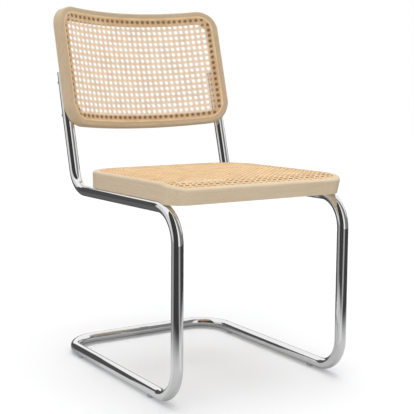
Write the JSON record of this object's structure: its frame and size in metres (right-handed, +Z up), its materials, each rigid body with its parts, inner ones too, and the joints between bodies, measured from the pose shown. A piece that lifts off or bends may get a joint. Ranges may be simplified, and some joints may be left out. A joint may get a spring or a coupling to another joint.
{
  "type": "cantilever dining chair",
  "caption": "Cantilever dining chair in bent chromed steel tube with a caned wooden seat and a curved, caned wooden back.",
  "frame": {"origin": "on the floor, under the middle of the chair's overall width and depth", "axes": "+Z up, the sitter faces -Y, +X to the sitter's left"},
  "size_m": [0.4636, 0.6296, 0.8335],
  "materials": {
    "chromed_steel": "mirror",
    "plain_steel": "drawn",
    "zinc_plated_steel": "plated",
    "brass": "turned",
    "black_plastic": "moulded",
    "beech_wood": "satin",
    "natural_cane": "natural"
  },
  "bodies": {
    "root": {"base_frame_tube": "chromed_steel", "left_back_tube": "chromed_steel", "right_back_tube": "chromed_steel", "left_joint_sleeve": "plain_steel", "right_joint_sleeve": "plain_steel", "left_tube_end_cap": "black_plastic", "right_tube_end_cap": "black_plastic", "glide_front_left": "black_plastic", "glide_front_right": "black_plastic", "glide_rear_left": "black_plastic", "glide_rear_right": "black_plastic", "seat_bracket_front_left": "chromed_steel", "seat_bracket_front_right": "chromed_steel", "seat_bracket_rear_left": "chromed_steel", "seat_bracket_rear_right": "chromed_steel", "seat_frame": "beech_wood", "seat_cane": "natural_cane", "seat_spline": "natural_cane", "back_frame": "beech_wood", "back_cane": "natural_cane", "back_spline": "natural_cane", "seat_screws": "zinc_plated_steel", "back_screws": "zinc_plated_steel", "seat_inserts": "brass", "back_inserts": "brass"}
  },
  "joints": []
}
